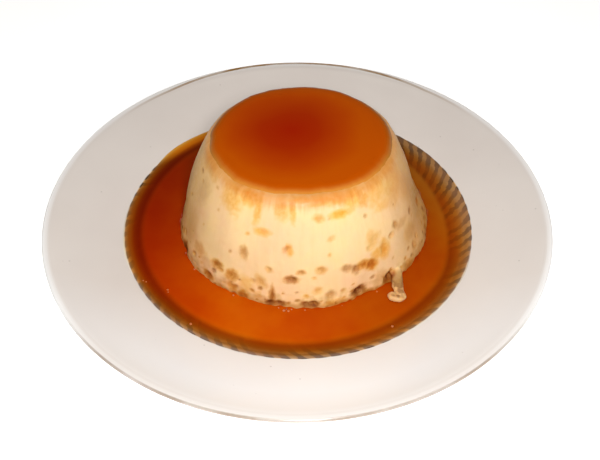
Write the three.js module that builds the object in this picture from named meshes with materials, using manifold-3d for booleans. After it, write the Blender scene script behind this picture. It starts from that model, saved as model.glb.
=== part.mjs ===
// Creme caramel flan, turned out on a round porcelain dessert plate and standing in its caramel.
// Millimetres, +Z up. The origin is on the table under the middle of the plate.
// A bearing is an angle about +Z in degrees: 0 faces the front (-Y) and 90 faces the right (+X).

import * as THREE from 'three';
import { mergeVertices } from 'three/addons/utils/BufferGeometryUtils.js';
import Module from 'manifold-3d';

const wasm = await Module();
wasm.setup();

// ---------------------------------------------------------------- driving dimensions

// Plate: wide gently rising rim, a rounded cove down to a flat well, and a foot ring.
const RIM_RADIUS = 105;
const RIM_HEIGHT = 21.5;
const SHOULDER_RADIUS = 75;
const SHOULDER_HEIGHT = 11.5;
const WELL_RADIUS = 64;
const WELL_HEIGHT = 6;
const PLATE_THICKNESS = 4;
const LIP_RADIUS = 0.8;
const FOOT_OUTER_RADIUS = 58;
const FOOT_WIDTH = 4;
const FOOT_FLARE = 1.4;
const FOOT_RECESS = 1.8;
const PLATE_SEGMENTS = 72;

// Custard: the shape of a small bowl-sided mould, set down off centre and slumped a little.
const FLAN_X = 2.4;
const FLAN_Y = 1.9;
const FLAN_HEIGHT = 46;
const FLAN_FOOT_RADIUS = 53.4;
const FLAN_TOP_RADIUS = 36.6;
const FLAN_BULGE = 2;
const FLAN_SHOULDER = 3;
const FLAN_FOOT_ROUND = 1.2;
const TOP_SHIFT_X = -0.9;
const TOP_TILT = 0.5;
const CURL_WIDTH = 3.8;
const CURL_THICKNESS = 2.6;
const FLAN_SEGMENTS = 72;

// Caramel: a pool that fills the well to one level, and a glaze left on top of the custard.
const POOL_LEVEL = 10.1;
const POOL_MEAN_RADIUS = 70.6;
const POOL_LEAN = 3.2;
const POOL_LEAN_BEARING = -95;
const FILM_THICKNESS = 0.7;
const GLAZE_THICKNESS = 0.9;
const GLAZE_EDGE_THINNING = 0.6;
const GLAZE_WRAP_DEGREES = 24;
const GAP = 0.3;

// ---------------------------------------------------------------- small helpers

const radians = THREE.MathUtils.degToRad;

function fraction(value) {
  return value - Math.floor(value);
}

// Angle from one bearing to another, the short way round, in degrees.
function turnBetween(bearing, other) {
  return fraction((bearing - other + 180) / 360) * 360 - 180;
}

// A soft hump: 1 at its middle and nearly 0 two half-widths away.
function hump(distance, halfWidth) {
  return Math.exp(-((distance / halfWidth) ** 2));
}

function bearingOf(x, y) {
  return THREE.MathUtils.radToDeg(Math.atan2(x, -y));
}

// The point at a bearing and distance from the flan's own axis, at a height above the table.
function aroundFlan(bearing, radius, z) {
  const angle = radians(bearing);
  return new THREE.Vector3(FLAN_X + radius * Math.sin(angle), FLAN_Y - radius * Math.cos(angle), z);
}

// A turned shape whose profile gives (distance from the axis, height).
function turned(profile, segments) {
  const points = profile.map(([radius, height]) => new THREE.Vector2(radius, height));
  return new THREE.LatheGeometry(points, segments).rotateX(Math.PI / 2);
}

// Moves every vertex by a rule that takes its bearing, distance from +Z and height.
function reshaped(geometry, rule) {
  const position = geometry.attributes.position;
  for (let i = 0; i < position.count; i += 1) {
    const x = position.getX(i);
    const y = position.getY(i);
    const moved = rule(bearingOf(x, y), Math.hypot(x, y), position.getZ(i));
    position.setXYZ(i, moved.x, moved.y, moved.z);
  }
  return geometry;
}

// Leaves only merged positions, as a closed solid needs.
function welded(geometry) {
  const bare = geometry.clone();
  bare.deleteAttribute('normal');
  bare.deleteAttribute('uv');
  return mergeVertices(bare.index ? bare : mergeVertices(bare), 1e-4);
}

function toSolid(geometry) {
  const bare = welded(geometry);
  return new wasm.Manifold(new wasm.Mesh({
    numProp: 3,
    vertProperties: new Float32Array(bare.attributes.position.array),
    triVerts: new Uint32Array(bare.index.array),
  }));
}

function toGeometry(solid) {
  const mesh = solid.getMesh();
  const geometry = new THREE.BufferGeometry();
  geometry.setAttribute('position', new THREE.BufferAttribute(mesh.vertProperties, 3));
  geometry.setIndex(new THREE.BufferAttribute(mesh.triVerts, 1));
  geometry.computeVertexNormals();
  return geometry;
}

function named(name, geometry, material) {
  const mesh = new THREE.Mesh(geometry, material);
  mesh.name = name;
  return mesh;
}

// ---------------------------------------------------------------- plate

// Height of the plate's upper face: flat well, rounded cove, then the straight rim.
function plateTop(radius) {
  const rimSlope = (RIM_HEIGHT - SHOULDER_HEIGHT) / (RIM_RADIUS - SHOULDER_RADIUS);
  if (radius <= WELL_RADIUS) {
    return WELL_HEIGHT;
  }
  if (radius >= SHOULDER_RADIUS) {
    return SHOULDER_HEIGHT + rimSlope * (radius - SHOULDER_RADIUS);
  }
  const coveWidth = SHOULDER_RADIUS - WELL_RADIUS;
  const s = (radius - WELL_RADIUS) / coveWidth;
  const rise = (SHOULDER_HEIGHT - WELL_HEIGHT) * s * s * (3 - 2 * s);
  const leavesAtRimSlope = rimSlope * coveWidth * s * s * (s - 1);
  return WELL_HEIGHT + rise + leavesAtRimSlope;
}

function plateProfile() {
  const footInner = FOOT_OUTER_RADIUS - FOOT_WIDTH;
  const underside = [[0, FOOT_RECESS], [footInner - FOOT_FLARE, FOOT_RECESS], [footInner, 0]];
  underside.push([FOOT_OUTER_RADIUS, 0], [FOOT_OUTER_RADIUS + FOOT_FLARE, WELL_HEIGHT - PLATE_THICKNESS]);
  const coveSteps = 6;
  const upper = [];
  for (let i = 0; i <= coveSteps; i += 1) {
    const radius = THREE.MathUtils.lerp(WELL_RADIUS, SHOULDER_RADIUS, i / coveSteps);
    upper.push([radius, plateTop(radius)]);
    underside.push([radius, plateTop(radius) - PLATE_THICKNESS]);
  }
  // The rim thins towards a round lip.
  const lipCentre = [RIM_RADIUS - LIP_RADIUS, RIM_HEIGHT - LIP_RADIUS];
  const lip = [];
  const lipSteps = 5;
  for (let i = 0; i <= lipSteps; i += 1) {
    const angle = Math.PI * (i / lipSteps - 0.5);
    lip.push([lipCentre[0] + LIP_RADIUS * Math.cos(angle), lipCentre[1] + LIP_RADIUS * Math.sin(angle)]);
  }
  return [...underside, ...lip, ...upper.reverse(), [0, WELL_HEIGHT]];
}

function makePlate() {
  const glazedPorcelain = new THREE.MeshStandardMaterial({ color: 0xe6ded6, roughness: 0.22, metalness: 0 });
  return named('plate', welded(turned(plateProfile(), PLATE_SEGMENTS)), glazedPorcelain);
}

// ---------------------------------------------------------------- custard

// Radius of the even mould shape at a height above the well.
function mouldRadius(height) {
  const rise = THREE.MathUtils.clamp(height / FLAN_HEIGHT, 0, 1);
  const taper = THREE.MathUtils.lerp(FLAN_FOOT_RADIUS, FLAN_TOP_RADIUS, rise);
  return taper + FLAN_BULGE * 4 * rise * (1 - rise);
}

// How far the soft custard leaves that shape: a dent beside the tear, and upright ripples that
// fade towards the top.
const FOOT_DENT = { bearing: 28, halfAngle: 6, height: 4, halfHeight: 9, depth: 1.2 };
const RIPPLES = [{ count: 7, phase: 50, depth: 0.25 }, { count: 17, phase: 0, depth: 0.16 }];

function slump(bearing, height) {
  const acrossDent = hump(turnBetween(bearing, FOOT_DENT.bearing), FOOT_DENT.halfAngle);
  const upDent = hump(height - FOOT_DENT.height, FOOT_DENT.halfHeight);
  const fade = 1 - 0.5 * height / FLAN_HEIGHT;
  return RIPPLES.reduce(
    (sum, ripple) => sum + fade * ripple.depth * Math.sin(radians(ripple.count * bearing + ripple.phase)),
    -FOOT_DENT.depth * acrossDent * upDent,
  );
}

// Carries a point of the even mould shape to its place on the slumped flan.
// The top leans a little to the left, and its far edge is lower than its near one.
function onFlan(bearing, radius, height) {
  const reach = Math.min(radius / mouldRadius(height), 1);
  const point = aroundFlan(bearing, radius + reach * slump(bearing, height), WELL_HEIGHT + height);
  const rise = height / FLAN_HEIGHT;
  point.x += rise * TOP_SHIFT_X;
  point.z -= rise * TOP_TILT * (point.y - FLAN_Y) / FLAN_TOP_RADIUS;
  return point;
}

// A point of the rounded shoulder, offset outwards: 0 degrees is on top and 90 on the wall.
function shoulderPoint(degrees, offset) {
  const angle = radians(degrees);
  const radius = FLAN_SHOULDER + offset;
  const centre = [mouldRadius(FLAN_HEIGHT) - FLAN_SHOULDER, FLAN_HEIGHT - FLAN_SHOULDER];
  return [centre[0] + radius * Math.sin(angle), centre[1] + radius * Math.cos(angle)];
}

function custardProfile() {
  const profile = [[0, 0], [FLAN_FOOT_RADIUS - FLAN_FOOT_ROUND, 0]];
  const wallSteps = 12;
  const wallTop = FLAN_HEIGHT - FLAN_SHOULDER;
  for (let i = 0; i < wallSteps; i += 1) {
    const height = THREE.MathUtils.lerp(FLAN_FOOT_ROUND, wallTop, i / wallSteps);
    profile.push([mouldRadius(height), height]);
  }
  const shoulderTurn = [78, 52, 26, 0];
  shoulderTurn.forEach((degrees) => profile.push(shoulderPoint(degrees, 0)));
  profile.push([0, FLAN_HEIGHT]);
  return profile;
}

// Pits that show on the near side: bearing, height above the well, width, tallness and depth.
const NEAR_PITS = [
  { bearing: -67, height: 6, width: 3, tall: 3, depth: 1.4 },
  { bearing: -46, height: 7.2, width: 3.5, tall: 2.2, depth: 1.6 },
  { bearing: -42, height: 13.4, width: 4, tall: 3, depth: 1.5 },
  { bearing: -33, height: 13, width: 4, tall: 4.6, depth: 1.3 },
  { bearing: -27, height: 6.2, width: 4.4, tall: 2.6, depth: 1.4 },
  { bearing: -19, height: 8.5, width: 3.4, tall: 3.2, depth: 1.2 },
  { bearing: -14, height: 9.7, width: 2.4, tall: 6, depth: 1.6 },
  { bearing: -11, height: 6, width: 6, tall: 2.6, depth: 1.8 },
  { bearing: -5, height: 17.4, width: 6, tall: 2.8, depth: 1.6 },
  { bearing: 1, height: 6.6, width: 6.6, tall: 3, depth: 1.8 },
  { bearing: 8, height: 21.2, width: 3.6, tall: 3.4, depth: 1.2 },
  { bearing: 23, height: 19.2, width: 8, tall: 3, depth: 1.3 },
  { bearing: 31, height: 18.4, width: 7, tall: 4, depth: 1.6 },
  { bearing: 24, height: 8.7, width: 5, tall: 3.6, depth: 2.2 },
  { bearing: 40, height: 22, width: 4, tall: 5.6, depth: 1.2 },
];

// Smaller pits scattered over the flanks and the far side, thickest towards the foot. Each value
// steps on by an irrational share of its range, which spreads the pits without a pattern.
const FAR_PITS = {
  count: 20,
  bearing: { from: 76, range: 208, step: 0.618034 },
  height: { from: 5.5, range: 17, step: 0.754878 },
  tall: { from: 2.2, range: 2.4, step: 0.56984 },
  widthToTall: 1.3,
  depthToTall: 0.45,
};

function farPits() {
  const { count, bearing, height, tall, widthToTall, depthToTall } = FAR_PITS;
  return Array.from({ length: count }, (_, index) => {
    const turn = index + 1;
    const size = tall.from + tall.range * fraction(turn * tall.step);
    return {
      bearing: bearing.from + bearing.range * fraction(turn * bearing.step),
      height: height.from + height.range * fraction(turn * height.step) ** 2,
      width: widthToTall * size,
      tall: size,
      depth: depthToTall * size,
    };
  });
}

// The hollow behind the torn curl is the deepest of the cuts.
const TEAR_HOLLOW = { bearing: 41.5, height: 7, width: 4.6, tall: 5.4, depth: 2.6 };

function pitCutter(pit) {
  const cutter = new THREE.IcosahedronGeometry(1, 1);
  cutter.scale(pit.width / 2, pit.depth, pit.tall / 2);
  cutter.rotateZ(radians(pit.bearing));
  const wall = onFlan(pit.bearing, mouldRadius(pit.height), pit.height);
  cutter.translate(wall.x, wall.y, wall.z);
  return toSolid(cutter);
}

// A strip of custard that has peeled off the foot and lies on the caramel in a small curl.
function tornCurl() {
  const route = new THREE.CatmullRomCurve3([
    aroundFlan(35.3, 56.3, 11.7),
    aroundFlan(34.8, 58.8, 11.7),
    aroundFlan(36, 60.8, 11.7),
    aroundFlan(38.2, 61.6, 11.8),
    aroundFlan(39.8, 60.4, 12),
    aroundFlan(40.5, 58.3, 12.3),
    aroundFlan(41.8, 56, 12.8),
    aroundFlan(43.5, 54.1, 13.6),
    aroundFlan(45.1, 52.4, 14.8),
    aroundFlan(46.2, 49, 16),
  ]);
  const section = new THREE.Shape().absellipse(0, 0, CURL_THICKNESS / 2, CURL_WIDTH / 2, 0, 2 * Math.PI);
  return toSolid(new THREE.ExtrudeGeometry(section, { steps: 22, curveSegments: 8, extrudePath: route }));
}

function makeCustard() {
  const bakedCustard = new THREE.MeshStandardMaterial({ color: 0xf2d6a0, roughness: 0.45, metalness: 0 });
  let body = toSolid(reshaped(turned(custardProfile(), FLAN_SEGMENTS), onFlan));
  [...NEAR_PITS, ...farPits(), TEAR_HOLLOW].forEach((pit) => {
    body = body.subtract(pitCutter(pit));
  });
  body = body.add(tornCurl());
  return named('custard', toGeometry(body), bakedCustard);
}

// ---------------------------------------------------------------- caramel glaze on top

// A skin that follows the custard's top and shoulder and thins to its edge.
function makeCaramelTop() {
  const caramelGlaze = new THREE.MeshStandardMaterial({ color: 0xb04a08, roughness: 0.12, metalness: 0 });
  const wrapSteps = 3;
  const lower = [[0, FLAN_HEIGHT + GAP]];
  const upper = [];
  for (let i = 0; i <= wrapSteps; i += 1) {
    const degrees = GLAZE_WRAP_DEGREES * i / wrapSteps;
    const thickness = GLAZE_THICKNESS * (1 - GLAZE_EDGE_THINNING * (i / wrapSteps) ** 2);
    lower.push(shoulderPoint(degrees, GAP));
    upper.push(shoulderPoint(degrees, GAP + thickness));
  }
  const profile = [...lower, ...upper.reverse(), [0, FLAN_HEIGHT + GAP + GLAZE_THICKNESS]];
  return named('caramel_top', welded(reshaped(turned(profile, FLAN_SEGMENTS), onFlan)), caramelGlaze);
}

// ---------------------------------------------------------------- caramel pool

// Distance from the plate's middle to the pool's uneven outer edge: it leans to one side and has
// a few shallow lobes.
const POOL_LOBES = [{ count: 3, phase: 20, depth: 0.5 }, { count: 5, phase: 0, depth: 0.3 }];

function poolEdge(bearing) {
  const lean = POOL_LEAN * Math.cos(radians(bearing - POOL_LEAN_BEARING));
  return POOL_LOBES.reduce(
    (sum, lobe) => sum + lobe.depth * Math.sin(radians(lobe.count * bearing + lobe.phase)),
    POOL_MEAN_RADIUS + lean,
  );
}

// The liquid rests on the flat well and stands just clear of the cove.
const BED_LIFT_WIDTH = 4;

function poolBed(radius) {
  const lift = THREE.MathUtils.smoothstep(radius, WELL_RADIUS - BED_LIFT_WIDTH, WELL_RADIUS);
  return plateTop(radius) + GAP * lift;
}

// A point of the liquid: how far it reaches from the custard to the edge, and its share of the depth.
function poolPoint(bearing, reach, depthShare) {
  const height = depthShare * (POOL_LEVEL - WELL_HEIGHT);
  const inner = aroundFlan(bearing, mouldRadius(height) + slump(bearing, height) + GAP, 0);
  const seenFromPlate = bearingOf(inner.x, inner.y);
  const outward = new THREE.Vector2(inner.x, inner.y).normalize();
  const radius = THREE.MathUtils.lerp(Math.hypot(inner.x, inner.y), poolEdge(seenFromPlate), reach);
  const bed = poolBed(radius);
  const thickness = Math.max(POOL_LEVEL - bed, FILM_THICKNESS);
  return new THREE.Vector3(outward.x * radius, outward.y * radius, bed + thickness * depthShare);
}

// One loop of the pool's section: (share of the way out, share of the depth).
// It is turned at one unit from the axis, then stretched between the custard and the edge.
function makeCaramelPool() {
  const liquidCaramel = new THREE.MeshStandardMaterial({ color: 0xa83c04, roughness: 0.08, metalness: 0 });
  const bed = [0, 0.56, 0.7, 0.81, 0.91, 0.98].map((reach) => [1 + reach, 0]);
  const edge = [[2, 0.4], [1.985, 0.8]];
  const surface = [0.94, 0.86, 0.77, 0.68, 0.35, 0].map((reach) => [1 + reach, 1]);
  const loop = [...bed, ...edge, ...surface, bed[0]];
  const ring = reshaped(turned(loop, FLAN_SEGMENTS), (bearing, distance, share) => (
    poolPoint(bearing, distance - 1, share)
  ));
  return named('caramel_pool', welded(ring), liquidCaramel);
}

// ---------------------------------------------------------------- the dessert

const dessert = new THREE.Group();
dessert.add(makePlate(), makeCaramelPool(), makeCustard(), makeCaramelTop());

export default dessert;
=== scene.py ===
import math
from functools import partial

import bmesh
import bpy
import numpy as np
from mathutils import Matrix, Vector, noise


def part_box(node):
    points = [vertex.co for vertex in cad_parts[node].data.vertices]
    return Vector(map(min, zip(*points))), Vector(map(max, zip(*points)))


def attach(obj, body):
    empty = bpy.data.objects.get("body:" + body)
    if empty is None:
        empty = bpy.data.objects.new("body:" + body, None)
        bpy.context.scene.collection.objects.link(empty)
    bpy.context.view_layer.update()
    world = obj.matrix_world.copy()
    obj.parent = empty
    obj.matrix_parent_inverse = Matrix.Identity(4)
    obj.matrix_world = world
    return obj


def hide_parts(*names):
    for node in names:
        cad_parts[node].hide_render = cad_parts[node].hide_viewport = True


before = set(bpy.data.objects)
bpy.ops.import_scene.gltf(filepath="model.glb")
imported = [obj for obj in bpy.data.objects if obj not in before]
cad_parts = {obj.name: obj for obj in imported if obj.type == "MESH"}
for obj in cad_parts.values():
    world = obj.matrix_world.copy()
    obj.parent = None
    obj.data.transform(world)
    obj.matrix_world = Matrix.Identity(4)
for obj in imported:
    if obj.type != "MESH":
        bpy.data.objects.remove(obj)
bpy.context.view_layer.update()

# A creme caramel flan on its plate. Sizes are in millimetres. A bearing is an angle about +Z in
# degrees: 0 faces the front (-Y) and 90 faces the right (+X).


# ---------------------------------------------------------------- plate
# A round dessert plate of white porcelain, turned in one piece on a wheel head, with a foot ring to
# stand on. A rope border was printed round the well and a thin brown line banded on the lip, then
# the whole was dipped in clear glaze and fired.

RIM_RADIUS = 105
RIM_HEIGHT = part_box("plate")[1].z * 1000
SHOULDER_RADIUS = 75
SHOULDER_HEIGHT = 11.5
WELL_RADIUS = 64
WELL_HEIGHT = 6
PLATE_THICKNESS = 4
LIP_RADIUS = 0.8
FOOT_OUTER_RADIUS = 58
FOOT_WIDTH = 4
FOOT_FLARE = 1.4
FOOT_RECESS = 1.8
PLATE_SEGMENTS = 288
COVE_ROWS, LIP_ROWS, RIM_ROWS = 28, 15, 7
SHARP_ANGLE = 40

BORDER_STRANDS = 74
BORDER_INNER = 61
BORDER_OUTER = 74.3
BORDER_LEAN = 2.4
BORDER_CENTRE = (0.3, -0.3)
LIP_LINE_RADIUS = 103.9
LIP_LINE_WIDTH = 1.0
LIP_LINE_DRIFT = 1.6


def plate_top(radius):
    """Height of the plate's upper face: flat well, rounded cove, then the straight rim."""
    rim_slope = (RIM_HEIGHT - SHOULDER_HEIGHT) / (RIM_RADIUS - SHOULDER_RADIUS)
    cove_width = SHOULDER_RADIUS - WELL_RADIUS
    s = np.clip((radius - WELL_RADIUS) / cove_width, 0, 1)
    rise = (SHOULDER_HEIGHT - WELL_HEIGHT) * s * s * (3 - 2 * s)
    leaves_at_rim_slope = rim_slope * cove_width * s * s * (s - 1)
    rim = rim_slope * np.clip(radius - SHOULDER_RADIUS, 0, None)
    return WELL_HEIGHT + rise + leaves_at_rim_slope + rim


def plate_profile():
    """The section of the plate from the axis under the foot, round the lip, and back to the axis."""
    foot_inner = FOOT_OUTER_RADIUS - FOOT_WIDTH
    under_well = WELL_HEIGHT - PLATE_THICKNESS
    profile = [(0, FOOT_RECESS), (foot_inner / 2, FOOT_RECESS), (foot_inner - FOOT_FLARE, FOOT_RECESS)]
    profile += [(foot_inner, 0), (FOOT_OUTER_RADIUS, 0), (FOOT_OUTER_RADIUS + FOOT_FLARE, under_well)]
    cove = np.linspace(WELL_RADIUS, SHOULDER_RADIUS, COVE_ROWS)
    profile += [(r, plate_top(r) - PLATE_THICKNESS) for r in cove]
    lip_r, lip_z = RIM_RADIUS - LIP_RADIUS, RIM_HEIGHT - LIP_RADIUS
    under_lip = np.array((lip_r, lip_z - LIP_RADIUS))
    for share in (0.25, 0.5, 0.75):
        profile.append(tuple(np.array(profile[-1]) * (1 - share) + under_lip * share))
    for angle in np.linspace(-math.pi / 2, math.pi / 2, LIP_ROWS):
        profile.append((lip_r + LIP_RADIUS * math.cos(angle), lip_z + LIP_RADIUS * math.sin(angle)))
    rim = np.linspace(lip_r - 4, SHOULDER_RADIUS + 4, RIM_ROWS)
    profile += [(r, float(plate_top(r))) for r in (*rim, *cove[::-1], 48, 24, 0)]
    return profile


# Settings of a Map Range node that eases in and out, and of a Mix node for colours.
SMOOTH = {"interpolation_type": "SMOOTHSTEP"}
COLOURS = {"data_type": "RGBA"}


def add_node(tree, kind, *inputs, stops=(), **settings):
    """Adds a node. inputs are values or links for its sockets in order, or one dictionary of them by
    name. stops are a ramp's places and colours, and settings are the node's own."""
    families = ("ShaderNode", "GeometryNode", "FunctionNode", "")
    node = tree.nodes.new(next(family + kind for family in families if hasattr(bpy.types, family + kind)))
    for name, value in settings.items():
        setattr(node, name, value)
    for at, (place, colour) in enumerate(stops):
        elements = node.color_ramp.elements
        element = elements[at] if at < 2 else elements.new(place)
        element.position = place
        element.color = linear(colour)
    # A node has sockets for every kind of value. Only those that its settings call for are enabled.
    sockets = [socket for socket in node.inputs if socket.enabled]
    named = inputs[0] if inputs and isinstance(inputs[0], dict) else dict(enumerate(inputs))
    for key, value in named.items():
        socket = sockets[key] if isinstance(key, int) else next(s for s in sockets if s.name == key)
        if isinstance(value, bpy.types.Node):
            value = next(s for s in value.outputs if s.enabled)
        if isinstance(value, bpy.types.NodeSocket):
            tree.links.new(value, socket)
        else:
            socket.default_value = linear(value) if socket.type == "RGBA" else value
    return node


def linear(colour):
    """An sRGB hex colour as linear red, green, blue and alpha."""
    parts = [(colour >> shift & 255) / 255 for shift in (16, 8, 0)]
    return (*[p / 12.92 if p <= 0.04045 else ((p + 0.055) / 1.055) ** 2.4 for p in parts], 1)


def new_material(name):
    """An empty material, and add_node for its tree."""
    material = bpy.data.materials.new(name)
    material.use_nodes = True
    material.node_tree.nodes.clear()
    return material, partial(add_node, material.node_tree)


def millimetres(node):
    """A place on the piece in millimetres."""
    return node("VectorMath", node("TexCoord").outputs["Object"], 1000, operation="SCALE")


def polar_place(node, centre=(0, 0)):
    """In millimetres about a centre: the place, its x, y and z, and its distance from the centre."""
    place = node("VectorMath", millimetres(node), (*centre, 0), operation="SUBTRACT")
    x, y, z = node("SeparateXYZ", place).outputs
    radius = node("VectorMath", node("CombineXYZ", x, y), operation="LENGTH").outputs["Value"]
    return place.outputs[0], (x, y, z), radius


def rope_border(node):
    """The printed border: (colour, cover). Slanted strands of tan between dark brown lines, which
    widen to blobs where strands meet the border's two edges."""
    place, (x, y, _), radius = polar_place(node, BORDER_CENTRE)
    back = node("Math", y, -1, operation="MULTIPLY")
    bearing = node("Math", x, back, operation="ARCTAN2")
    turns = node("Math", bearing, BORDER_STRANDS / (2 * math.pi), operation="MULTIPLY")
    across = node("MapRange", radius, BORDER_INNER, BORDER_OUTER, clamp=False)
    lean = node("Math", across, -BORDER_LEAN, turns, operation="MULTIPLY_ADD")
    wobble = node("TexNoise", place, 0.35, 2.0)
    uneven = node("Math", wobble, 0.6, lean, operation="MULTIPLY_ADD")
    wave = node("Math", uneven, 2 * math.pi, operation="MULTIPLY")
    wave = node("Math", wave, operation="SINE")
    # 0 midway across the border and 1 at its edges.
    centred = node("Math", across, 0.5, operation="SUBTRACT")
    sideways = node("Math", centred, operation="ABSOLUTE")
    edge = node("MapRange", sideways, 0.34, 0.5, 0.0, 0.5, **SMOOTH)
    widened = node("Math", wave, edge, operation="ADD")
    line = node("MapRange", widened, -0.25, 0.45, **SMOOTH)
    tan = node("ValToRGB", wobble, stops=[(0.35, 0xBC8848), (0.65, 0xCC9C58)])
    brown = node("ValToRGB", across, stops=[(0.4, 0x5E3010), (0.9, 0x4E320C)])
    colour = node("Mix", line, tan, brown, **COLOURS)
    # The dark lines reach a little past the tan.
    reach = node("Math", wave, -0.005, sideways, operation="MULTIPLY_ADD")
    cover = node("MapRange", reach, 0.5, 0.465, **SMOOTH)
    return colour, cover


def glazed_porcelain():
    """Fired porcelain under clear glaze: a warm white that mirrors the room softly, with a faint
    ripple in the glaze, a few iron specks, the printed border and the line on the lip."""
    material, node = new_material("glazed porcelain")
    place, (_, y, z), radius = polar_place(node)
    cloud = node("TexNoise", place, 0.02, 3.0)
    body = node("ValToRGB", cloud, stops=[(0.3, 0xDCD3CC), (0.7, 0xE2DAD3)])
    grain = node("TexVoronoi", place, 0.11)
    speck = node("MapRange", grain.outputs["Distance"], 0.05, 0.02)
    speck = node("Math", speck, 0.35, operation="MULTIPLY")
    # Painted light: the glaze is painted whiter towards the front, where the light falls strongest.
    painted_front_light = node("MapRange", y, -40, -90, 0, 0.8)
    body = node("Mix", painted_front_light, body, 0xEAE8E8, **COLOURS)
    speckled = node("Mix", speck, body, 0x8C8074, **COLOURS)
    border, cover = rope_border(node)
    printed = node("Mix", cover, speckled, border, **COLOURS)
    # The line on the lip has worn away except at the back.
    wear = node("TexNoise", place, 0.05, 4.0)
    wear = node("MapRange", wear, 0.3, 0.6, 0.5, 1.1)
    kept = node("MapRange", y, 55, 103, 0.07, 0.95, **SMOOTH)
    worn = node("Math", wear, kept, operation="MULTIPLY")
    middle = node("MapRange", y, 80, 103, LIP_LINE_RADIUS - LIP_LINE_DRIFT, LIP_LINE_RADIUS)
    lip = node("Math", radius, middle, operation="SUBTRACT")
    lip = node("Math", lip, operation="ABSOLUTE")
    lip = node("MapRange", lip, LIP_LINE_WIDTH / 2 + 0.1, LIP_LINE_WIDTH / 2 - 0.1, **SMOOTH)
    upper = node("MapRange", z, RIM_HEIGHT - 1.5, RIM_HEIGHT - 1.3, **SMOOTH)
    for share in (upper, worn):
        lip = node("Math", lip, share, operation="MULTIPLY")
    # Painted light: the lip is painted whiter towards its edge, where it catches the light, except at the
    # front, where the rim's edge is a little darker and keeps a trace of the line on the lip's outside.
    front_edge = node("MapRange", y, -55, -85, **SMOOTH)
    white = node("MapRange", radius, 101.6, 104.2)
    lit_lip_colour = node("Mix", white, printed, 0xF6F4F2, **COLOURS)
    front_edge_colour = node("MapRange", radius, 92, 100)
    front_edge_colour = node("Mix", front_edge_colour, printed, 0xE2DCD7, **COLOURS)
    trace = node("MapRange", radius, 104.1, 104.5, 0, 0.8)
    trace = node("Math", trace, wear, operation="MULTIPLY")
    front_edge_colour = node("Mix", trace, front_edge_colour, 0x96826E, **COLOURS)
    lit_lip_colour = node("Mix", front_edge, lit_lip_colour, front_edge_colour, **COLOURS)
    colour = node("Mix", lip, lit_lip_colour, 0x9A7440, **COLOURS)
    smear = node("TexNoise", place, 0.05, 5.0)
    roughness = node("MapRange", smear, 0, 1, 0.14, 0.3)
    ripple = node("TexNoise", place, 0.12, 1.0)
    bump = node("Bump", {"Height": ripple, "Strength": 0.25, "Distance": 0.00004})
    shader = node("BsdfPrincipled", {
        "Base Color": colour, "Roughness": roughness, "IOR": 1.5, "Normal": bump})
    node("OutputMaterial", shader)
    return material


def new_geometry_tree(name, inputs):
    """A Geometry Nodes tree with named inputs and no nodes, and add_node for it."""
    tree = bpy.data.node_groups.new(name, "GeometryNodeTree")
    for label, kind in inputs.items():
        tree.interface.new_socket(label, in_out="INPUT", socket_type="NodeSocket" + kind)
    tree.interface.new_socket("Geometry", in_out="OUTPUT", socket_type="NodeSocketGeometry")
    return tree, partial(add_node, tree)


def spinning_tree():
    """Geometry Nodes that turn a profile about +Z, as a plate is turned, and close it."""
    tree, node = new_geometry_tree("turned on the wheel", {
        "Profile": "Geometry", "Segments": "Int", "Weld Distance": "Float", "Material": "Material"})
    given = node("NodeGroupInput").outputs
    size = node("AttributeDomainSize", {"Geometry": given["Profile"]})
    count = size.outputs["Point Count"]
    columns = node("Math", given["Segments"], 1, operation="ADD")
    grid = node("MeshGrid", {"Vertices X": columns, "Vertices Y": count})
    index = node("InputIndex")
    row = node("Math", index, count, operation="MODULO")
    column = node("Math", index, count, operation="DIVIDE")
    column = node("Math", column, operation="FLOOR")
    spun = node("Math", column, given["Segments"], operation="DIVIDE")
    angle = node("Math", spun, 2 * math.pi, operation="MULTIPLY")
    position = node("InputPosition")
    sample = node("SampleIndex", {"Geometry": given["Profile"], "Value": position, "Index": row},
                  data_type="FLOAT_VECTOR")
    turned = node("VectorRotate", {"Vector": sample, "Angle": angle}, rotation_type="Z_AXIS")
    placed = node("SetPosition", {"Geometry": grid, "Position": turned})
    welded = node("MergeByDistance", {"Geometry": placed, "Distance": given["Weld Distance"]})
    smooth = node("SetShadeSmooth", {"Geometry": welded})
    real = node("RealizeInstances", {"Geometry": smooth})
    coloured = node("SetMaterial", {"Geometry": real, "Material": given["Material"]})
    node("NodeGroupOutput", {"Geometry": coloured})
    return tree


def add_object(name, mesh):
    piece = bpy.data.objects.new(name, mesh)
    bpy.context.scene.collection.objects.link(piece)
    return piece


def run_nodes(piece, tree, inputs):
    """Puts a Geometry Nodes tree on a piece and leaves its result as the piece's plain mesh."""
    modifier = piece.modifiers.new(tree.name, "NODES")
    modifier.node_group = tree
    for item in tree.interface.items_tree:
        if item.name in inputs and item.in_out == "INPUT":
            modifier[item.identifier] = inputs[item.name]
    settle(piece)
    piece.data.materials.clear()
    piece.data.materials.append(inputs["Material"])


def settle(piece):
    """Replaces a piece's modifiers by their result, with faces turned outwards."""
    depsgraph = bpy.context.evaluated_depsgraph_get()
    evaluated = piece.evaluated_get(depsgraph)
    plain = bpy.data.meshes.new_from_object(evaluated, preserve_all_data_layers=True, depsgraph=depsgraph)
    piece.modifiers.clear()
    piece.data = plain
    edit = bmesh.new()
    edit.from_mesh(plain)
    bmesh.ops.recalc_face_normals(edit, faces=edit.faces)
    edit.to_mesh(plain)
    edit.free()


profile = plate_profile()
outline = bpy.data.meshes.new("plate")
edges = [(i, i + 1) for i in range(len(profile) - 1)]
outline.from_pydata([(r / 1000, 0, z / 1000) for r, z in profile], edges, [])
plate = add_object("plate_glazed", outline)
run_nodes(plate, spinning_tree(), {"Segments": PLATE_SEGMENTS, "Weld Distance": 0.00002,
                                   "Material": glazed_porcelain()})
plate.data.set_sharp_from_angle(angle=math.radians(SHARP_ANGLE))
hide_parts("plate")
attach(plate, "root")


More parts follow.
